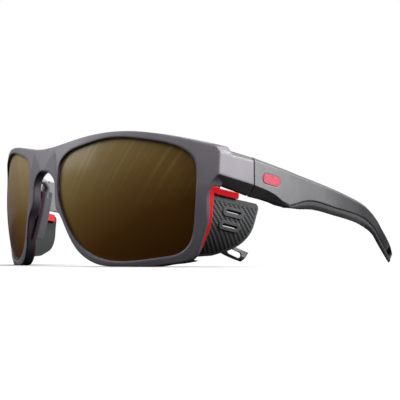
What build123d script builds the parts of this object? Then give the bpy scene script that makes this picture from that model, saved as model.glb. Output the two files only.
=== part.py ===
"""Glacier glasses: a wrapped front with two lenses, sliding side shields and folding temples.

Millimetres. The front faces -Y, up is +Z, and the wearer's left is +X. The floor is Z = 0,
with the rims' lower edges and the temple tips resting on it. Every paired piece is modelled
once, on the wearer's left, and mirrored for the right.
"""
from build123d import *
from collections import namedtuple
import os

os.makedirs("parts", exist_ok=True)

# --- Driving dimensions -------------------------------------------------------------------
WRAP_R = 106.0                 # radius of the front's outer, spherical face
WRAP_CENTRE = (0, 29, 30)
RIM_DEPTH = 4.0                # thickness of the front, square to that face
LENS_SETBACK = 1.2             # lens face behind the rim's face
LENS_T = 2.0
LENS_BITE = 0.9                # how far the lens reaches into its groove
BRIDGE_FOLD = 1.1              # how far the bridge's two facets fall back from their ridge
BRIDGE_FACET, BRIDGE_BLEND = 7.5, 11.5     # half widths: to the facets' ends, and to the sphere

HINGE_X, HINGE_Y = 65.5, -34.5
HINGE_LEVELS = (27.4, 30.3, 33.7, 36.6)   # bottom, joints and top of the three knuckles
KNUCKLE_R = 2.0
RELIEF_R = 2.3                 # hollow that the other leaf's knuckle turns in
KNUCKLE_GAP = 0.2
END_FACE_Y = -33.6             # rear face of the end-piece
TEMPLE_FACE_Y = -33.1          # front face of the temple
SCREW_R = 0.7
SCREW_CLEARANCE = 0.05
SCREW_HEAD_R, SCREW_HEAD_H = 1.35, 0.9
INSERT_R = 1.15

SHIELD_T = 1.1
SHIELD_BEND_R, SHIELD_FLAT = 24.0, 6.0     # the shield curves in below its flat top band
SHIELD_FRONT = ((-1.4, -1.55), (-2.0, -14), (-3.1, -19), (-5.1, -25.1))   # let into the rim
POCKET_GAP = 0.2               # room round the shield in the rim
BORDER, TOP_BORDER = 0.9, 2.0  # shield left bare round its panel
PANEL_T = 0.35                 # textured skin let into the shield
VENT_LENGTH, VENT_WIDTH, VENT_RISE = 9.7, 3.3, 0.3
SLOT_LENGTH, SLOT_WIDTH = 6.8, 0.9
SLOT_SLANT = 0.5               # the slots slope down towards the inside, like louvres
VENT_CENTRES = ((8.6, -8.0), (7.7, -12.9))
VENT_TILT = -10

SHIELD_RAIL_T, RAIL_H = 2.3, 3.4   # shield and its inner rail, which share the groove
RAIL_START, RAIL_END = 1.0, 17.8
TONGUE_T, TONGUE_H, TONGUE_END = 0.7, 1.3, 9.9
SLIDE_FIT = 0.15
CLIP_SKIN = 1.0                # rim left in front of the clip
CLIP_WIDTH = 1.3               # how far the clip reaches in from the rim's edge
ARM_START, ARM_END, ARM_H, ARM_PROUD = -3.0, 10.0, 2.3, 0.9
TAPER_TOP, TAPER_BOTTOM = (-47.2, 11.0), (-51.2, 3.0)   # rear edge of the clip's lower end

PAD_T, PAD_DEPTH, PAD_SPLAY = 2.2, 7.5, 0.45
PAD_START = 72.0               # the pad's front end, ahead of the glasses' middle
PAD_CURVE = ((8.5, 29.3), (11.2, 20.0), (15.4, 11.0))
PAD_ARM_R = 1.1

FRONT_VIEW = Plane.XZ          # sketch x is +X, sketch y is +Z, and it extrudes to -Y
SIDE_VIEW = Plane.YZ           # sketch x is +Y, sketch y is +Z, and it extrudes to +X
REACH = 100.0                  # longer than the glasses are deep

# The shield's flat top band: x runs back along the head and z points away from it.
SHIELD_PLANE = Plane(origin=(66, -47.8, 27), x_dir=(0.0942, 0.9956, 0), z_dir=(1, -0.0946, -0.145))
SHIELD_SLOPE = -0.143          # fall of the shield's top edge, and of its slide
SHIELD_TOP = -1.75             # where that edge would cross the plane's y axis
ARM_LOW = SHIELD_TOP + 0.3     # underside of the clip's arm, along the same slope
SLIDE_DIR = (0.0731, 0.9874, -0.1401)
BEND_PLANE = Plane(origin=(66.04, -47.8, 25.3), x_dir=(0.985, -0.0932, -0.1428),
                   z_dir=(-0.0731, -0.9874, 0.1401))   # across the slide, at the top edge
TIP_CUT = Plane(origin=(0, 73.7, 0), z_dir=(0, -0.84, 0.54))
TIP_SLOPE = -24.4
CORD_SLOT_PLANE = Plane(origin=(49.6, 70.9, 5.5), x_dir=(-0.48, 0.877, 0),
                        z_dir=(0.877, 0.48, 0))   # along the tip's side
CORD_SLOT_LENGTH, CORD_SLOT_WIDTH = 8.0, 3.0
TOP_BEVEL = 1.15               # along the temple's outer top edge
BADGE_PLANE = Plane(origin=(70.32, -24.2, 31.2), x_dir=(-0.058, 1, -0.15), z_dir=(1, 0.058, 0))

LENS_POINTS = (
    (10.3, 35.5), (12.7, 40.8), (21.1, 44.1), (35.0, 46.3), (49.3, 44.5), (60.5, 40.6),
    (62.8, 38.4), (64.4, 29.4), (63.1, 15.9), (61.0, 8.8), (57.8, 5.2), (51.9, 3.5),
    (39.3, 2.0), (27.0, 3.2), (20.2, 7.0), (14.2, 15.6), (10.4, 26.5),
)


LENS_STEPS = 36

# The temple's sections across the glasses. y: distance back. x_top, z_top: outer top edge.
# x_low, z_low: lower edge of the outer face. x_foot, z_foot: outer edge of the hard temple's
# underside. z_bottom: underside of the soft grip, which starts at GRIP_START.
Section = namedtuple("Section", "y x_top z_top x_low z_low x_foot z_foot z_bottom thickness")
SECTIONS = (
    Section(TEMPLE_FACE_Y, 70.7, 38.9, 70.7, 28.9, 67.6, 25.2, 25.2, 4.7),
    Section(-24, 70.4, 37.2, 70.4, 26.7, 68.0, 23.9, 23.9, 4.5),
    Section(-14, 69.6, 35.5, 69.6, 22.8, 69.2, 22.0, 21.6, 4.3),
    Section(-7, 68.8, 34.2, 68.8, 24.2, 68.5, 23.8, 21.2, 4.2),
    Section(0, 67.9, 33.1, 67.9, 25.1, 67.6, 24.7, 21.4, 4.1),
    Section(18, 64.7, 30.3, 64.7, 23.2, 64.4, 22.8, 19.7, 3.7),
    Section(36, 60.7, 27.2, 60.4, 21.4, 60.1, 21.0, 17.7, 3.4),
    Section(44, 58.9, 25.4, 57.8, 20.3, 57.5, 19.9, 16.3, 3.0),
    Section(52, 57.8, 21.3, 56.9, 16.5, 56.6, 16.1, 13.0, 2.7),
    Section(60, 56.2, 14.7, 54.6, 10.8, 54.3, 10.4, 7.6, 2.6),
    Section(68, 53.0, 10.2, 51.6, 6.3, 51.3, 5.9, 3.2, 2.5),
    Section(77.5, 47.3, 5.6, 46.9, 2.3, 46.6, 1.9, -0.7, 2.2),
)
GRIP_START = -14
TEMPLE_YS = (TEMPLE_FACE_Y, *range(-30, 76, 4), SECTIONS[-1].y)


def keep_shell(outer, inner):
    """Keep only what lies between two spheres about the wrap's centre."""
    with Locations(WRAP_CENTRE):
        Sphere(outer, mode=Mode.INTERSECT)
        Sphere(inner, mode=Mode.SUBTRACT)


def draw_half_front():
    """The left half of the front's outline, from the bridge's top round to its underside."""
    top = Spline((0, 44.6), (18.8, 46.8), (35, 48.4), (51.9, 46.7), (69.2, 41.8),
                 tangents=((1, 0), (1, -0.36)))
    corner = Polyline(top @ 1, (70.5, 39.7), (70.5, 32.1))
    side = Spline(corner @ 1, (67.8, 27.4), (66.8, 18.4), (62.5, 4.9),
                  tangents=((-0.8, -1), (-0.35, -1)))
    low = Spline(side @ 1, (58.5, 1.9), (51.1, 0.7), (44.4, 0), tangents=((-0.4, -1), (-1, 0)))
    rest = Line(low @ 1, (34.2, 0))
    nose = Spline(rest @ 1, (24.8, 1.3), (17.6, 6.4), (10.6, 19.6), (7.4, 29.5),
                  tangents=((-1, 0), (0, 1)))
    Spline(nose @ 1, (5.2, 34.3), (0, 36.1), tangents=((0, 1), (-1, 0)))


def draw_lens(grow=0.0):
    """One lens opening as a face, or the lens itself when it is grown into its groove."""
    places = [step / LENS_STEPS for step in range(LENS_STEPS)]
    with BuildLine() as edge:
        opening = Spline(*LENS_POINTS, periodic=True, mode=Mode.PRIVATE)
        Spline(*(opening @ at + (opening % at).rotate(Axis.Z, 90) * grow for at in places),
               periodic=True)
    make_face(edge.edges())


def slope_line(u):
    """Height of the shield's top edge, u behind its plane's origin."""
    return SHIELD_TOP + SHIELD_SLOPE * u


def draw_slope(start, end, low, high, mode=Mode.ADD):
    """A bar from start to end that falls like the shield's top edge; heights are at its start."""
    fall = SHIELD_SLOPE * (end - start)
    Polygon((start, low), (end, low + fall), (end, high + fall), (start, high),
            align=None, mode=mode)


def smooth(ys, values, y):
    """Cubic through the values that never overshoots them."""
    rises = [(high - low) / (y1 - y0)
             for y0, y1, low, high in zip(ys, ys[1:], values, values[1:])]
    slopes = [2 * a * b / (a + b) if a * b > 0 else 0 for a, b in zip(rises, rises[1:])]
    slopes = [rises[0], *slopes, rises[-1]]
    i = max(k for k in range(len(rises)) if ys[k] <= y)
    width = ys[i + 1] - ys[i]
    t = (y - ys[i]) / width
    ends = (1 + 2 * t) * (1 - t) ** 2 * values[i] + t * t * (3 - 2 * t) * values[i + 1]
    return ends + width * t * (1 - t) * ((1 - t) * slopes[i] - t * slopes[i + 1])


def section_at(y):
    """The temple's section between the given ones."""
    columns = list(zip(*SECTIONS))
    return Section(*(smooth(columns[0], column, y) for column in columns))


def draw_temple_section(y):
    """Hard temple: flat inside, bevelled above, and bevelled or undercut below."""
    at = section_at(y)
    Polygon((at.x_top - at.thickness, at.z_top), (at.x_top - TOP_BEVEL, at.z_top),
            (at.x_top, at.z_top - TOP_BEVEL), (at.x_low, at.z_low), (at.x_foot, at.z_foot),
            (at.x_low - at.thickness, at.z_foot), align=None)


def draw_grip_section(y):
    """Soft grip: it meets the hard temple above and is rounded below."""
    at = section_at(y)
    inner = at.x_low - at.thickness
    middle = (at.z_foot + at.z_bottom) / 2
    round_off = 0.3 * (at.z_foot - at.z_bottom)
    Polygon((inner, at.z_foot), (at.x_foot, at.z_foot), (at.x_low + 0.1, middle),
            (at.x_low - round_off, at.z_bottom), (inner + round_off, at.z_bottom + round_off),
            (inner - 0.1, middle + round_off), align=None)


def build_lens():
    with BuildPart() as lens:
        with BuildSketch(FRONT_VIEW):
            draw_lens(LENS_BITE)
        extrude(amount=REACH)
        keep_shell(WRAP_R - LENS_SETBACK, WRAP_R - LENS_SETBACK - LENS_T)
    return lens.part


def build_end_piece():
    """The side block that carries the hinge's outer knuckles."""
    with BuildPart() as end_piece:
        with BuildSketch(FRONT_VIEW.offset(51)):
            Polygon((66.0, 42.3), (69.1, 41.6), (70.5, 39.6), (70.5, 32.1), (67.9, 29.4),
                    (66.0, 29.4), align=None)
        with BuildSketch(FRONT_VIEW.offset(-END_FACE_Y)):
            Polygon((66.3, 39.2), (69.4, 38.9), (70.7, 37.5), (70.7, 29.0), (67.6, 25.3),
                    (66.3, 25.3), align=None)
        loft()
        for low, high in ((HINGE_LEVELS[0], HINGE_LEVELS[1]), (HINGE_LEVELS[2], HINGE_LEVELS[3])):
            with BuildSketch(Plane.XY.offset(low)):
                with Locations((HINGE_X, HINGE_Y)):
                    Circle(KNUCKLE_R)
                with Locations((HINGE_X + KNUCKLE_R / 2, HINGE_Y - KNUCKLE_R)):
                    Rectangle(KNUCKLE_R * 1.6, KNUCKLE_R * 2)
            extrude(amount=high - low)
        with BuildSketch(Plane.XY.offset(HINGE_LEVELS[1])):
            with Locations((HINGE_X, HINGE_Y)):
                Circle(RELIEF_R)
        extrude(amount=HINGE_LEVELS[2] - HINGE_LEVELS[1], mode=Mode.SUBTRACT)
        with Locations(WRAP_CENTRE):
            Sphere(WRAP_R, mode=Mode.INTERSECT)
    return end_piece.part


def add_wall(outer, inner, mode=Mode.ADD):
    """A layer of the shield's wall, flat above and curving in below, along its slide.
    outer and inner are distances out from the shield's own outer face."""
    low = -SHIELD_BEND_R
    with BuildSketch(BEND_PLANE) as wall:
        with BuildLine() as edge:
            face = Line((outer, 6), (outer, -SHIELD_FLAT))
            curve = CenterArc((low, -SHIELD_FLAT), SHIELD_BEND_R + outer, 0, -60)
            back = CenterArc((low, -SHIELD_FLAT), SHIELD_BEND_R + inner, 0, -60)
            Line(curve @ 1, back @ 1)
            Line((inner, -SHIELD_FLAT), (inner, 6))
            Line((inner, 6), face @ 0)
        make_face(edge.edges())
    extrude(wall.sketch, amount=30, both=True, mode=mode)


def build_pocket():
    """Room for the shield's front edge, cut through the rim's rear outer corner."""
    front = [(u - POCKET_GAP, v) for u, v in SHIELD_FRONT]
    with BuildPart() as pocket:
        add_wall(8, -SHIELD_T - POCKET_GAP)
        with BuildSketch(SHIELD_PLANE):
            Polygon((8, slope_line(8) + POCKET_GAP), (front[0][0], slope_line(front[0][0]) + POCKET_GAP),
                    *front[1:], (8, front[-1][1] - 2), align=None)
        extrude(amount=15, both=True, mode=Mode.INTERSECT)
    return pocket.part


def build_clip(pocket):
    """Red clip let into the rim's edge, with the arm and tongue that the shield slides on."""
    with BuildPart() as clip:
        with BuildSketch(FRONT_VIEW):
            with BuildLine():
                draw_half_front()
                Line((0, 36.1), (0, 44.6))
            half = make_face()
            add(half.faces()[0].moved(Location((-CLIP_WIDTH, 0))), mode=Mode.SUBTRACT)
            with Locations((65.5, 16.2)):
                Rectangle(9, 23, mode=Mode.INTERSECT)
        extrude(amount=REACH)
        keep_shell(WRAP_R - CLIP_SKIN, WRAP_R - RIM_DEPTH)
        with BuildSketch(SIDE_VIEW):
            Polygon(TAPER_TOP, (TAPER_TOP[0], TAPER_BOTTOM[1]), TAPER_BOTTOM, align=None)
        extrude(amount=REACH, mode=Mode.SUBTRACT)
        add(pocket, mode=Mode.SUBTRACT)
        with BuildSketch(SHIELD_PLANE.offset(-SHIELD_RAIL_T)) as side:
            draw_slope(ARM_START, ARM_END, ARM_LOW - SHIELD_SLOPE, ARM_LOW - SHIELD_SLOPE + ARM_H)
            fillet(side.vertices().group_by(Axis.X)[-1], 0.8)
        extrude(amount=SHIELD_RAIL_T + ARM_PROUD)
        with BuildSketch(SHIELD_PLANE.offset(-(SHIELD_RAIL_T + TONGUE_T) / 2)):
            draw_slope(RAIL_START + 1, TONGUE_END, ARM_LOW - TONGUE_H, ARM_LOW + 0.2)
        extrude(amount=TONGUE_T)
    return clip.part


def draw_shield():
    """The side shield's outline, in its own plane."""
    with BuildLine() as edge:
        top = Line((SHIELD_FRONT[0][0], slope_line(SHIELD_FRONT[0][0])), (17.9, slope_line(17.9)))
        rear = ThreePointArc(top @ 1, (19.35, -5.0), (19.8, -6.6))
        back = Line(rear @ 1, (18.4, -13.0))
        low = ThreePointArc(back @ 1, (15.9, -18.0), (11.0, -21.8))
        Polyline(low @ 1, (5.0, -24.1), *reversed(SHIELD_FRONT[1:]), top @ 0)
    make_face(edge.edges())


def draw_vents(length, width, mode=Mode.ADD):
    """The two vent capsules, one above the other."""
    for place in VENT_CENTRES:
        with Locations(place):
            SlotOverall(length, width, rotation=VENT_TILT, mode=mode)


def build_panel():
    """Textured skin of the shield, inside its border and round its vents."""
    with BuildPart() as panel:
        add_wall(0, -PANEL_T)
        with BuildSketch(SHIELD_PLANE):
            draw_shield()
            offset(amount=-BORDER)
            draw_slope(-5, 30, slope_line(-5) - TOP_BORDER, 10, mode=Mode.SUBTRACT)
            draw_vents(VENT_LENGTH, VENT_WIDTH, mode=Mode.SUBTRACT)
        extrude(amount=15, both=True, mode=Mode.INTERSECT)
    return panel.part


def cut_groove():
    """Room for the clip's tongue."""
    groove_t = TONGUE_T + 2 * SLIDE_FIT
    with BuildSketch(SHIELD_PLANE.offset(-(SHIELD_RAIL_T + groove_t) / 2)) as groove:
        draw_slope(-6, TONGUE_END + SLIDE_FIT, slope_line(-6) - TONGUE_H, slope_line(-6) + 1)
    extrude(groove.sketch, amount=groove_t, mode=Mode.SUBTRACT)


def build_shield(panel):
    """Curved side shield with two raised vent rings and their slots."""
    with BuildPart() as shield:
        add_wall(0, -SHIELD_T)
        with BuildSketch(SHIELD_PLANE):
            draw_shield()
        extrude(amount=15, both=True, mode=Mode.INTERSECT)
        with BuildPart(mode=Mode.ADD) as rings:
            add_wall(VENT_RISE, -SHIELD_T)
            with BuildSketch(SHIELD_PLANE):
                draw_vents(VENT_LENGTH, VENT_WIDTH)
            extrude(amount=15, both=True, mode=Mode.INTERSECT)
        with BuildSketch(SHIELD_PLANE):
            draw_vents(SLOT_LENGTH, SLOT_WIDTH)
        slant = SHIELD_PLANE.z_dir + SHIELD_PLANE.y_dir * SLOT_SLANT
        extrude(amount=5, dir=slant, both=True, mode=Mode.SUBTRACT)
        cut_groove()
        add(panel, mode=Mode.SUBTRACT)
    return shield.part


def build_rail():
    """Red rail inside the shield's top edge, grooved for the clip's tongue."""
    with BuildPart() as rail:
        with BuildSketch(SHIELD_PLANE.offset(-SHIELD_RAIL_T)):
            draw_slope(RAIL_START, RAIL_END, slope_line(RAIL_START) - RAIL_H,
                       slope_line(RAIL_START))
        extrude(amount=SHIELD_RAIL_T - SHIELD_T)
        cut_groove()
    return rail.part


def build_screw():
    """Hinge screw, slotted, dropped in from above."""
    bottom, top = HINGE_LEVELS[0], HINGE_LEVELS[3]
    with BuildPart() as screw:
        with BuildSketch(Plane.XY.offset(bottom)):
            with Locations((HINGE_X, HINGE_Y)):
                Circle(SCREW_R)
        extrude(amount=top - bottom - SCREW_HEAD_H)
        with BuildSketch(Plane.XY.offset(top - SCREW_HEAD_H)):
            with Locations((HINGE_X, HINGE_Y)):
                Circle(SCREW_HEAD_R)
        extrude(amount=SCREW_HEAD_H)
        with BuildSketch(Plane.XY.offset(top - SCREW_HEAD_H / 2)):
            with Locations((HINGE_X, HINGE_Y)):
                Rectangle(4 * SCREW_HEAD_R, 0.4, rotation=30)
        extrude(amount=SCREW_HEAD_H, mode=Mode.SUBTRACT)
    return screw.part


def build_insert():
    """Threaded insert that the screw bites into, in the lower knuckle."""
    with BuildPart() as insert:
        with BuildSketch(Plane.XY.offset(HINGE_LEVELS[0])):
            with Locations((HINGE_X, HINGE_Y)):
                Circle(INSERT_R)
                Circle(SCREW_R, mode=Mode.SUBTRACT)
        extrude(amount=HINGE_LEVELS[1] - HINGE_LEVELS[0])
    return insert.part


def build_pad_arm():
    """Elbow that leaves the rim beside the bridge and holds the nose pad."""
    with BuildPart() as arm:
        with BuildLine() as route:
            Spline((8.1, -73.8, 32.8), (8.1, -71.0, 32.9), (8.7, -69.2, 31.2),
                   (10.4, -68.7, 26.8), tangents=((0, 1, 0.1), (0.3, 0.1, -1)))
        with BuildSketch(Plane(origin=route.line @ 0, z_dir=route.line % 0)):
            Circle(PAD_ARM_R)
        sweep()
    return arm.part


def build_front(lens, clip, pocket, screw, insert, pad_arm):
    """The one-piece front: both rims, the bridge, the end-pieces and the fixed hinge leaves."""
    end_piece = build_end_piece()
    with BuildPart() as front:
        with BuildSketch(FRONT_VIEW):
            with BuildLine():
                draw_half_front()
                mirror(about=Plane.YZ)
            make_face()
        extrude(amount=REACH)
        with BuildSketch(FRONT_VIEW):
            draw_lens()
            mirror(about=Plane.YZ)
        extrude(amount=REACH, mode=Mode.SUBTRACT)
        keep_shell(WRAP_R, WRAP_R - RIM_DEPTH)
        with BuildSketch(Plane.XY):
            face_y = WRAP_CENTRE[1] - WRAP_R
            facet_y = face_y + BRIDGE_FOLD
            Polygon((-BRIDGE_BLEND, face_y), (-BRIDGE_FACET, facet_y), (0, face_y),
                    (BRIDGE_FACET, facet_y), (BRIDGE_BLEND, face_y), (BRIDGE_BLEND, face_y - 2),
                    (-BRIDGE_BLEND, face_y - 2), align=None)
        extrude(amount=REACH, mode=Mode.SUBTRACT)
        add(end_piece)
        mirror(end_piece, about=Plane.YZ)
        for cutter in (pocket, lens, clip, screw, insert, pad_arm):
            add(cutter, mode=Mode.SUBTRACT)
            mirror(cutter, about=Plane.YZ, mode=Mode.SUBTRACT)
    return front.part


def build_pad(front, lens, pad_arm):
    """Soft nose pad, behind the rim's inner edge and splayed outwards towards the face."""
    with BuildPart() as pad:
        with BuildSketch(FRONT_VIEW.offset(PAD_START)):
            with BuildLine() as curve:
                ThreePointArc(*PAD_CURVE)
            trace(curve.edges(), line_width=PAD_T)
        extrude(amount=PAD_DEPTH, dir=(PAD_SPLAY, 1, 0))
        fillet(pad.edges().filter_by(Plane.XZ).group_by(Axis.Y)[-1], 0.8)
        for body in (front, lens, pad_arm):
            add(body, mode=Mode.SUBTRACT)
    return pad.part


def build_badge():
    """Plain capsule let into the temple's outer face."""
    with BuildPart() as badge:
        with BuildSketch(BADGE_PLANE.offset(-0.5)):
            SlotOverall(9.5, 3.8)
        extrude(amount=0.65)
    return badge.part


def cut_cord_slot():
    """The slot goes through the hard temple and its grip together."""
    with BuildSketch(CORD_SLOT_PLANE) as slot:
        SlotOverall(CORD_SLOT_LENGTH, CORD_SLOT_WIDTH, rotation=TIP_SLOPE)
    extrude(slot.sketch, amount=10, both=True, mode=Mode.SUBTRACT)


def build_temple(badge):
    """The hard temple with its hinge knuckle and the cord slot near the tip."""
    with BuildPart() as temple:
        for y in TEMPLE_YS:
            with BuildSketch(FRONT_VIEW.offset(-y)):
                draw_temple_section(y)
        loft(ruled=True)
        with BuildSketch(Plane.XY):
            with Locations((HINGE_X, HINGE_Y)):
                Circle(RELIEF_R)
        extrude(amount=REACH, mode=Mode.SUBTRACT)
        with BuildSketch(Plane.XY.offset(HINGE_LEVELS[1] + KNUCKLE_GAP)):
            with Locations((HINGE_X, HINGE_Y)):
                Circle(KNUCKLE_R)
            Polygon((HINGE_X, HINGE_Y + 1.4), (HINGE_X + 3, HINGE_Y + 1.4),
                    (HINGE_X + 3, HINGE_Y + 4.5), (HINGE_X, HINGE_Y + 3), align=None)
        extrude(amount=HINGE_LEVELS[2] - HINGE_LEVELS[1] - 2 * KNUCKLE_GAP)
        with BuildSketch(Plane.XY):
            with Locations((HINGE_X, HINGE_Y)):
                Circle(SCREW_R + SCREW_CLEARANCE)
        extrude(amount=REACH, mode=Mode.SUBTRACT)
        cut_cord_slot()
        split(bisect_by=TIP_CUT, keep=Keep.TOP)
        add(badge, mode=Mode.SUBTRACT)
    return temple.part


def build_grip():
    """Soft grip moulded under the temple, from ahead of the ear to the tip."""
    with BuildPart() as grip:
        for y in (y for y in TEMPLE_YS if y >= GRIP_START):
            with BuildSketch(FRONT_VIEW.offset(-y)):
                draw_grip_section(y)
        loft(ruled=True)
        cut_cord_slot()
        split(bisect_by=TIP_CUT, keep=Keep.TOP)
        split(bisect_by=Plane.XY, keep=Keep.TOP)
    return grip.part


def export(name, piece):
    piece.label = name
    export_step(piece, f"parts/{name}.step")


lens = build_lens()
pocket = build_pocket()
clip = build_clip(pocket)
panel = build_panel()
screw = build_screw()
insert = build_insert()
pad_arm = build_pad_arm()
badge = build_badge()
front = build_front(lens, clip, pocket, screw, insert, pad_arm)
temple = build_temple(badge)
paired = {
    "lens": lens,
    "nose_pad": build_pad(front, lens, pad_arm),
    "nose_pad_arm": pad_arm,
    "shield_clip": clip,
    "shield": build_shield(panel),
    "shield_rail": build_rail(),
    "shield_panel": panel,
    "temple": temple,
    "temple_grip": build_grip(),
    "temple_badge": badge,
    "hinge_screw": screw,
    "hinge_insert": insert,
}

export("front_frame", front)
for name, piece in paired.items():
    export(f"left_{name}", piece)
    export(f"right_{name}", mirror(piece, about=Plane.YZ))
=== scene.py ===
"""Looks of the glacier glasses: materials, soft pieces, floor, lights and camera.

Metres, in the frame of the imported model: the front faces -Y, up is +Z, the floor is Z = 0.
"""
import math

import bmesh
import bpy
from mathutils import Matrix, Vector


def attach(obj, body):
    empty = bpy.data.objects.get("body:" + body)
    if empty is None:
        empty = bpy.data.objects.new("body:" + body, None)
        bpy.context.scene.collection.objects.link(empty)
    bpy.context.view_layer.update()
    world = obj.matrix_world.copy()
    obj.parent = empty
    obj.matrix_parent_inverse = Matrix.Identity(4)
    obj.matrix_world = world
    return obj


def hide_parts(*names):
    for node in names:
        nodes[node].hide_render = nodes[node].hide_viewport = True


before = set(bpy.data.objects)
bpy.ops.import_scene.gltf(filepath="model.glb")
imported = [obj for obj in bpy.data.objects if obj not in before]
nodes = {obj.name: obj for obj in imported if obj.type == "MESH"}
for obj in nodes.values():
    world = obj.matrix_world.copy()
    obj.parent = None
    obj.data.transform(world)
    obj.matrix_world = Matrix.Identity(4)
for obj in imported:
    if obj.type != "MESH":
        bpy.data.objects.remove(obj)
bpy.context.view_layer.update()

scene = bpy.context.scene
SIDES = ("left", "right")


# --- Node helpers ---------------------------------------------------------------------------
class Graph:
    """A material's nodes. Colours are linear, and lengths are metres."""

    def __init__(self, name):
        self.material = bpy.data.materials.new(name)
        self.material.use_nodes = True
        self.tree = self.material.node_tree
        self.tree.nodes.clear()
        self.place = self.add("ShaderNodeTexCoord").outputs["Object"]
        self.normal = self.add("ShaderNodeNewGeometry").outputs["Normal"]

    def add(self, kind, inputs=None, **settings):
        node = self.tree.nodes.new(kind)
        for key, value in settings.items():
            setattr(node, key, value)
        for socket, value in (inputs or {}).items():
            if isinstance(value, bpy.types.NodeSocket):
                self.tree.links.new(value, node.inputs[socket])
            else:
                node.inputs[socket].default_value = value
        return node

    def maths(self, operation, *values, clamp=False):
        node = self.add("ShaderNodeMath", dict(enumerate(values)), operation=operation)
        node.use_clamp = clamp
        return node.outputs[0]

    def noise(self, size, detail=2.0, stretch=(1, 1, 1), roughness=0.5):
        """Noise of about this size, from 0 to 1, stretched along the axes."""
        place = self.add("ShaderNodeMapping", {
            "Vector": self.place, "Scale": [1 / (size * s) for s in stretch]})
        return self.add("ShaderNodeTexNoise", {
            "Vector": place.outputs[0], "Scale": 1.0, "Detail": detail,
            "Roughness": roughness}).outputs["Fac"]

    def remap(self, value, low, high, to_low=0.0, to_high=1.0, smooth=False):
        node = self.add("ShaderNodeMapRange", {
            "Value": value, "From Min": low, "From Max": high,
            "To Min": to_low, "To Max": to_high})
        node.interpolation_type = "SMOOTHSTEP" if smooth else "LINEAR"
        return node.outputs[0]

    def mix(self, factor, a, b, blend="MIX"):
        node = self.add("ShaderNodeMix", data_type="RGBA", blend_type=blend)
        for socket, value in ((0, factor), (6, a), (7, b)):
            if isinstance(value, bpy.types.NodeSocket):
                self.tree.links.new(value, node.inputs[socket])
            elif socket == 0:
                node.inputs[0].default_value = value
            else:
                node.inputs[socket].default_value = (*value, 1)
        return node.outputs[2]

    def axis(self, index, place=None):
        split = self.add("ShaderNodeSeparateXYZ", {0: place or self.place})
        return split.outputs[index]

    def rounded(self, radius):
        return self.add("ShaderNodeBevel", {"Radius": radius}, samples=6).outputs[0]

    def edges(self, rounded):
        """1 on sharp edges, 0 elsewhere."""
        dot = self.add("ShaderNodeVectorMath", {0: rounded, 1: self.normal},
                       operation="DOT_PRODUCT").outputs["Value"]
        return self.remap(dot, 0.995, 0.80, smooth=True)

    def bump(self, height, distance, normal):
        return self.add("ShaderNodeBump", {
            "Height": height, "Distance": distance, "Strength": 1.0,
            "Normal": normal}).outputs[0]

    def finish(self, **inputs):
        """The shader itself, from its sockets' names with _ for a space."""
        values = {key.replace("_", " "): value for key, value in inputs.items()}
        for key in ("Base Color", "Coat Tint", "Sheen Tint", "Specular Tint"):
            if isinstance(values.get(key), tuple):
                values[key] = (*values[key], 1)
        shader = self.add("ShaderNodeBsdfPrincipled", values)
        self.add("ShaderNodeOutputMaterial", {"Surface": shader.outputs[0]})
        return self.material


def moulded(name, colour, fleck, edge, radius=0.0003, rough=(0.42, 0.55), grain=0.00022,
            depth=0.000012, wear_and_highlight_amount=0.5, shade=None, **more):
    """Moulded plastic: fine spark-eroded grain, faint cloudiness and lighter edges, partly wear and
    partly a painted highlight.
    """
    g = Graph(name)
    rounded = g.rounded(radius)
    cloud = g.noise(0.014, 3.0)
    fine = g.noise(grain, 2.0)
    tone = g.mix(g.remap(cloud, 0.35, 0.7), colour, fleck)
    if shade:
        tone = shade(g, tone)
    # Lighter edges: partly wear, partly a painted highlight where edges catch the light.
    wear_and_highlight = g.remap(g.noise(0.003), 0.3, 0.6, wear_and_highlight_amount / 2, wear_and_highlight_amount)
    tone = g.mix(g.maths("MULTIPLY", g.edges(g.rounded(0.0002)), wear_and_highlight), tone, edge)
    tone = g.mix(g.remap(fine, 0.3, 0.7, 0.0, 0.18), tone, fleck)
    return g.finish(Base_Color=tone, Roughness=g.remap(cloud, 0.3, 0.7, *rough),
                    Normal=g.bump(fine, depth, rounded), **more)


# --- Materials ------------------------------------------------------------------------------
# Pairs are where a change of colour starts and ends: of a place in metres, or of how far a
# face is turned towards an axis, from -1 to 1.
TEMPLE_FADE = (-0.036, 0.034)     # back along the temple
TURNED_DOWN = (-0.55, -0.25)
TURNED_UP = (0.35, 0.60)
TURNED_OUT = (0.55, 0.85)
TURNED_TO_NOSE = (-0.25, -0.45)
TURNED_TO_HEAD = (-0.3, 0.2)
NEAR_NOSE = (0.024, 0.020)        # out from the middle
END_PIECE = (0.064, 0.067)        # out from the middle
CLIP_TOP = (0.0290, 0.0270)       # height of the clip's upper end
PAD_ROOT = (-0.0705, -0.0690)     # back from the rim
# painted shade on undersides
UNDERSIDE_SHADE = (0.022, 0.021, 0.024)
# painted shade on the top bevel
TOP_BEVEL_SHADE = (0.030, 0.029, 0.032)
# painted shade on the outer side wall beside the clip
SIDE_WALL_SHADE = (0.030, 0.022, 0.027)
# painted shade on the walls that face the nose
NOSE_WALL_SHADE = (0.012, 0.006, 0.010)
TEMPLE_TIP = (0.017, 0.0165, 0.0185)
# painted shade on the shield's side towards the head
SHIELD_INSIDE_SHADE = (0.008, 0.009, 0.009)
PAD_MAGENTA = (0.022, 0.007, 0.014)
BADGE_RIM = (0.055, 0.001, 0.005)
WEAVE_TURN = -42                  # degrees
RIB_SCALE, THREAD_SCALE = 230.0, 420.0
# slanting streaks of painted reflection on the lens
REFLECTION_STREAK_SCALE, REFLECTION_STREAK_SLANT = 420.0, -0.55
PEBBLE_SCALE = 2600.0


def darker_behind(g, tone):
    """The temple is darker towards its tip."""
    return g.mix(g.remap(g.axis(1), *TEMPLE_FADE), tone, TEMPLE_TIP)


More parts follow.
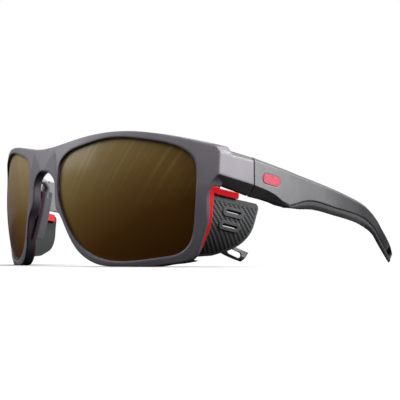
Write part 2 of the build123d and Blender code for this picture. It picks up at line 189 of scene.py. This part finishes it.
def painted_shade_below(g, tone):
    """Undersides get painted shade: a dark tone where the faces turn down."""
    return g.mix(g.remap(g.axis(2, g.normal), *TURNED_DOWN), UNDERSIDE_SHADE, tone)


def painted_shade_above(g, tone, place=None):
    """The bevel along the top gets painted shade, darker than the side below it."""
    up = g.remap(g.axis(2, g.normal), *TURNED_UP)
    if place:
        up = g.maths("MULTIPLY", up, place)
    return g.mix(up, tone, TOP_BEVEL_SHADE)


def temple_painted_shade(g, tone):
    """The temple is darker towards its tip, with painted shade on its underside and top bevel."""
    return painted_shade_above(g, painted_shade_below(g, darker_behind(g, tone)))


def front_painted_shade(g, tone):
    """The front gets painted shade on the walls that face the nose, on undersides, along the
    tops of the end-pieces and on the outer edge beside the clip."""
    side = g.maths("SIGN", g.axis(0))
    facing = g.maths("MULTIPLY", side, g.axis(0, g.normal))
    out = g.maths("ABSOLUTE", g.axis(0))
    near = g.remap(out, *NEAR_NOSE)
    # painted shade on the walls by the nose
    nose_wall_shade = g.maths("MULTIPLY", near, g.remap(facing, *TURNED_TO_NOSE))
    tone = painted_shade_above(g, painted_shade_below(g, tone), g.remap(out, *END_PIECE))
    # painted shade on the outer side wall beside the clip
    edge = g.maths("MULTIPLY", g.remap(facing, *TURNED_OUT), g.remap(g.axis(2), *CLIP_TOP))
    tone = g.mix(edge, tone, SIDE_WALL_SHADE)
    return g.mix(nose_wall_shade, tone, NOSE_WALL_SHADE)


def shield_painted_shade(g, tone):
    """The shield gets painted shade on the side towards the head."""
    side = g.maths("SIGN", g.axis(0))
    facing = g.maths("MULTIPLY", side, g.axis(0, g.normal))
    return g.mix(g.remap(facing, *TURNED_TO_HEAD), SHIELD_INSIDE_SHADE, tone)


frame_grey = moulded("frame_grey", (0.128, 0.116, 0.137), (0.150, 0.138, 0.158),
                     (0.30, 0.28, 0.29), radius=0.0012, shade=front_painted_shade)
light_grey = moulded("light_grey", (0.13, 0.125, 0.135), (0.16, 0.155, 0.165), (0.3, 0.3, 0.3),
                     radius=0.0002)
shield_grey = moulded("shield_grey", (0.055, 0.054, 0.057), (0.066, 0.065, 0.068),
                      (0.20, 0.20, 0.21), rough=(0.5, 0.65), shade=shield_painted_shade,
                      Specular_IOR_Level=0.12)
temple_grey = moulded("temple_grey", (0.100, 0.098, 0.104), (0.115, 0.113, 0.119),
                      (0.22, 0.22, 0.23), radius=0.0006, shade=temple_painted_shade)
red = moulded("red", (0.32, 0.003, 0.006), (0.37, 0.005, 0.009), (0.75, 0.07, 0.09),
              radius=0.00045, rough=(0.35, 0.45), depth=0.000004, wear_and_highlight_amount=0.8,
              Specular_IOR_Level=0.12,
              Subsurface_Weight=0.12, Subsurface_Radius=(0.0012, 0.0002, 0.0002),
              Subsurface_Scale=1.0)


def make_lens():
    """Brown lens with a painted reflection: paler towards its upper inner corner, with faint slanting
    streaks.
    """
    g = Graph("lens_glass")
    across = g.maths("ABSOLUTE", g.axis(0))
    up = g.axis(2)
    # painted reflection: paler towards the upper inner corner
    high = g.remap(up, 0.004, 0.044)
    inner = g.remap(across, 0.060, 0.012)
    pale = g.maths("ADD", g.maths("MULTIPLY", high, 0.62), g.maths("MULTIPLY", inner, 0.38))
    along = g.maths("ADD", across, g.maths("MULTIPLY", up, REFLECTION_STREAK_SLANT))
    reflection_streak = g.add("ShaderNodeTexNoise", {"W": g.maths("MULTIPLY", along, REFLECTION_STREAK_SCALE), "Scale": 1.0,
                   "Detail": 2.0}, noise_dimensions="1D").outputs["Fac"]
    reflection_streak = g.maths("MULTIPLY", g.remap(reflection_streak, 0.52, 0.72), g.remap(up, 0.020, 0.036))
    pale = g.maths("ADD", pale, g.maths("MULTIPLY", reflection_streak, 0.10))
    tone = g.add("ShaderNodeValToRGB", {"Fac": pale})
    ramp = tone.color_ramp
    stops = ((0.0, (0.052, 0.018, 0.0030)), (0.30, (0.078, 0.033, 0.0062)),
             (0.55, (0.135, 0.076, 0.021)), (0.80, (0.21, 0.150, 0.060)),
             (1.0, (0.31, 0.245, 0.140)))
    ramp.elements[0].color = (*stops[0][1], 1)
    ramp.elements[1].color = (*stops[-1][1], 1)
    for at, colour in stops[1:-1]:
        ramp.elements.new(at).color = (*colour, 1)
    cloud = g.noise(0.02, 1.0)
    return g.finish(Base_Color=tone.outputs[0],
                    Roughness=g.remap(cloud, 0.3, 0.7, 0.16, 0.24), Specular_IOR_Level=0.08)


def make_panel():
    """Dark skin with a diagonal woven texture."""
    g = Graph("panel_dark")
    turned = g.add("ShaderNodeMapping", {
        "Vector": g.place, "Rotation": (math.radians(WEAVE_TURN), 0, 0)}).outputs[0]
    ribs = g.add("ShaderNodeTexWave", {
        "Vector": turned, "Scale": RIB_SCALE, "Distortion": 1.0, "Detail": 1.0,
        "Detail Scale": 0.6}, wave_type="BANDS", bands_direction="Y",
        wave_profile="SIN").outputs["Fac"]
    threads = g.add("ShaderNodeTexWave", {
        "Vector": turned, "Scale": THREAD_SCALE, "Distortion": 1.5, "Detail": 1.0},
        wave_type="BANDS", bands_direction="Z", wave_profile="SIN").outputs["Fac"]
    weave = g.maths("MULTIPLY", ribs, g.remap(threads, 0.0, 1.0, 0.25, 1.0))
    tone = g.mix(weave, (0.005, 0.0055, 0.0062), (0.026, 0.028, 0.030))
    return g.finish(Base_Color=tone, Roughness=g.remap(weave, 0, 1, 0.7, 0.5),
                    Normal=g.bump(weave, 0.00018, g.rounded(0.0001)))


def make_badge():
    """Glossy red badge with a dark rim."""
    g = Graph("badge_red")
    rounded = g.rounded(0.00025)
    cloud = g.noise(0.002, 2.0)
    tone = g.mix(cloud, (0.30, 0.032, 0.055), (0.35, 0.042, 0.070))
    tone = g.mix(g.edges(g.rounded(0.0006)), tone, BADGE_RIM)
    return g.finish(Base_Color=tone, Roughness=g.remap(cloud, 0.3, 0.7, 0.28, 0.4),
                    Coat_Weight=0.5, Coat_Roughness=0.1,
                    Normal=g.bump(g.noise(0.0004), 0.000006, rounded))


def make_metal(name, colour, dark, rough):
    """Turned metal: fine rings round a vertical axis."""
    g = Graph(name)
    turning = g.noise(0.00012, 2.0, stretch=(30, 30, 1))
    tone = g.mix(turning, dark, colour)
    return g.finish(Base_Color=tone, Metallic=1.0,
                    Roughness=g.remap(turning, 0.3, 0.7, rough - 0.08, rough + 0.08),
                    Normal=g.bump(turning, 0.000008, g.rounded(0.0001)))


def darker_root(g, tone):
    """The nose pad is dark magenta where it leaves the rim."""
    return g.mix(g.remap(g.axis(1), *PAD_ROOT), PAD_MAGENTA, tone)


def make_rubber(name, colour, fleck, rough=(0.62, 0.78), shade=None):
    """Soft moulded rubber: dull, finely pebbled, with a faint dusty sheen."""
    g = Graph(name)
    cloud = g.noise(0.009, 3.0)
    pebble = g.add("ShaderNodeTexVoronoi", {"Vector": g.place, "Scale": PEBBLE_SCALE},
                   feature="F1").outputs["Distance"]
    tone = g.mix(g.remap(cloud, 0.3, 0.7), colour, fleck)
    tone = g.mix(g.remap(pebble, 0.0, 0.8, 0.0, 0.25), tone, colour)
    if shade:
        tone = shade(g, tone)
    return g.finish(Base_Color=tone, Roughness=g.remap(cloud, 0.3, 0.7, *rough),
                    Specular_IOR_Level=0.12, Sheen_Weight=0.04, Sheen_Roughness=0.5,
                    Normal=g.bump(pebble, 0.00002, g.normal))


lens_glass = make_lens()
panel_dark = make_panel()
badge_red = make_badge()
screw_steel = make_metal("screw_steel", (0.62, 0.62, 0.63), (0.38, 0.38, 0.40), 0.30)
insert_brass = make_metal("insert_brass", (0.78, 0.56, 0.26), (0.52, 0.34, 0.13), 0.32)
soft_grey = make_rubber("soft_grey", (0.060, 0.058, 0.064), (0.080, 0.077, 0.084),
                        shade=darker_root)
soft_dark = make_rubber("soft_dark", (0.018, 0.018, 0.019), (0.025, 0.025, 0.027))

LOOKS = {
    "lens": lens_glass, "nose_pad_arm": light_grey, "shield_clip": red,
    "shield": shield_grey, "shield_panel": panel_dark, "shield_rail": red,
    "temple": temple_grey,
    "temple_badge": badge_red, "hinge_screw": screw_steel, "hinge_insert": insert_brass,
}


def dress(obj, material):
    obj.data.materials.clear()
    obj.data.materials.append(material)


dress(nodes["front_frame"], frame_grey)
for side in SIDES:
    for part, material in LOOKS.items():
        dress(nodes[f"{side}_{part}"], material)


# --- Soft pieces ----------------------------------------------------------------------------
GRIP_VOXEL, GRIP_ROUNDS = 0.0003, 5
PAD_VOXEL, PAD_ROUNDS = 0.00025, 6


def soften(node_name, name, body, material, voxel, rounds):
    """A rounded, closed skin in the place of a soft CAD solid."""
    source = nodes[node_name]
    mesh = source.data.copy()
    mesh.name = name
    piece = bpy.data.objects.new(name, mesh)
    scene.collection.objects.link(piece)
    remesh = piece.modifiers.new("skin", "REMESH")
    remesh.mode = "VOXEL"
    remesh.voxel_size = voxel
    rounding = piece.modifiers.new("rounding", "SMOOTH")
    rounding.factor = 0.5
    rounding.iterations = rounds
    depsgraph = bpy.context.evaluated_depsgraph_get()
    made = bpy.data.meshes.new_from_object(piece.evaluated_get(depsgraph))
    piece.modifiers.clear()
    piece.data = made
    made.polygons.foreach_set("use_smooth", [True] * len(made.polygons))
    dress(piece, material)
    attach(piece, body)
    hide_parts(node_name)
    return piece


for side in SIDES:
    soften(f"{side}_temple_grip", f"{side}_soft_grip", f"{side}_temple_arm",
           soft_dark, GRIP_VOXEL, GRIP_ROUNDS)
    soften(f"{side}_nose_pad", f"{side}_soft_pad", "front", soft_grey,
           PAD_VOXEL, PAD_ROUNDS)


# --- Floor, lights and camera ---------------------------------------------------------------
ROOM_GLOW = 0.20          # how strongly the pale room lights the glasses
FLOOR_BOUNCE = 0.02       # how much of its light the floor throws back up
FLOOR_SHINE = 0.90        # glow of the open floor, which keeps shadows soft
FLOOR_SHADE = 0.15        # painted shadow: glow of the floor where something stands close over it
FLOOR_REACH = 0.04        # how far off a thing still casts painted shadow on the floor
FLOOR_HALF = 6.0          # half width of the floor
SOFTBOX_SIZE = 0.30
KEY_PLACE, KEY_TARGET, KEY_POWER = (0.36, 0.20, 0.28), (0.06, -0.02, 0.025), 6.6
FILL_PLACE, FILL_TARGET, FILL_POWER = (-0.28, -0.40, 0.26), (0.0, -0.07, 0.03), 1.7
DOME_STRENGTH, DOME_SPREAD = 3.2, 120     # the spread is in degrees
CAMERA_PLACE = (0.3018, -0.2633, 0.0036)
CAMERA_TILT, CAMERA_TURN = 93.52, 48.53   # degrees from straight down, and round from -Y
CAMERA_LENS, CAMERA_SENSOR = 82.87, 36.0  # millimetres


def make_floor():
    """Pale glowing floor with painted shadow where something stands close over it."""
    mesh = bpy.data.meshes.new("floor")
    form = bmesh.new()
    bmesh.ops.create_grid(form, x_segments=8, y_segments=8, size=FLOOR_HALF)
    form.to_mesh(mesh)
    form.free()
    floor = bpy.data.objects.new("floor", mesh)
    scene.collection.objects.link(floor)
    g = Graph("floor_pale")
    speck = g.noise(0.004, 2.0)
    tone = g.mix(speck, (0.105, 0.105, 0.105), (0.115, 0.115, 0.115))
    # painted contact shadow: the floor's glow drops where something stands close over it
    near = g.add("ShaderNodeAmbientOcclusion", {"Distance": FLOOR_REACH}, samples=12).outputs["AO"]
    shine = g.add("ShaderNodeEmission", {
        "Strength": g.remap(near, 0.45, 0.98, FLOOR_SHADE, FLOOR_SHINE)}).outputs[0]
    pale = g.add("ShaderNodeAddShader", {
        0: g.add("ShaderNodeBsdfDiffuse", {"Color": tone}).outputs[0], 1: shine}).outputs[0]
    dull = g.add("ShaderNodeBsdfDiffuse", {"Color": (FLOOR_BOUNCE,) * 3 + (1,)}).outputs[0]
    seen = g.add("ShaderNodeLightPath").outputs["Is Camera Ray"]
    both = g.add("ShaderNodeMixShader", {0: seen, 1: dull, 2: pale}).outputs[0]
    g.add("ShaderNodeOutputMaterial", {"Surface": both})
    dress(floor, g.material)


def add_softbox(name, place, target, power):
    """A square area light at place, turned to face target."""
    light = bpy.data.lights.new(name, "AREA")
    light.shape = "RECTANGLE"
    light.size = light.size_y = SOFTBOX_SIZE
    light.energy = power
    holder = bpy.data.objects.new(name, light)
    holder.location = place
    holder.rotation_euler = (Vector(target) - Vector(place)).to_track_quat("-Z", "Y").to_euler()
    scene.collection.objects.link(holder)


def add_dome(strength, spread):
    """Even light from overhead, as from a large diffuser."""
    light = bpy.data.lights.new("dome", "SUN")
    light.energy = strength
    light.angle = math.radians(spread)
    scene.collection.objects.link(bpy.data.objects.new("dome", light))


def make_sky():
    """White surroundings, which light the glasses less brightly than they look."""
    world = bpy.data.worlds.new("studio")
    scene.world = world
    world.use_nodes = True
    tree = world.node_tree
    back = tree.nodes["Background"]
    back.inputs["Color"].default_value = (1, 1, 1, 1)
    seen = tree.nodes.new("ShaderNodeLightPath").outputs["Is Camera Ray"]
    glow = tree.nodes.new("ShaderNodeMapRange")
    glow.inputs["To Min"].default_value = ROOM_GLOW
    glow.inputs["To Max"].default_value = 1.0
    tree.links.new(seen, glow.inputs["Value"])
    tree.links.new(glow.outputs[0], back.inputs["Strength"])


make_floor()
make_sky()
add_dome(DOME_STRENGTH, DOME_SPREAD)
add_softbox("key", KEY_PLACE, KEY_TARGET, KEY_POWER)
add_softbox("fill", FILL_PLACE, FILL_TARGET, FILL_POWER)

camera = bpy.data.cameras.new("camera")
camera.lens, camera.sensor_width = CAMERA_LENS, CAMERA_SENSOR
camera.clip_start, camera.clip_end = 0.01, 20.0
viewer = bpy.data.objects.new("camera", camera)
viewer.location = CAMERA_PLACE
viewer.rotation_euler = (math.radians(CAMERA_TILT), 0, math.radians(CAMERA_TURN))
scene.collection.objects.link(viewer)
scene.camera = viewer
scene.view_settings.view_transform = "Standard"
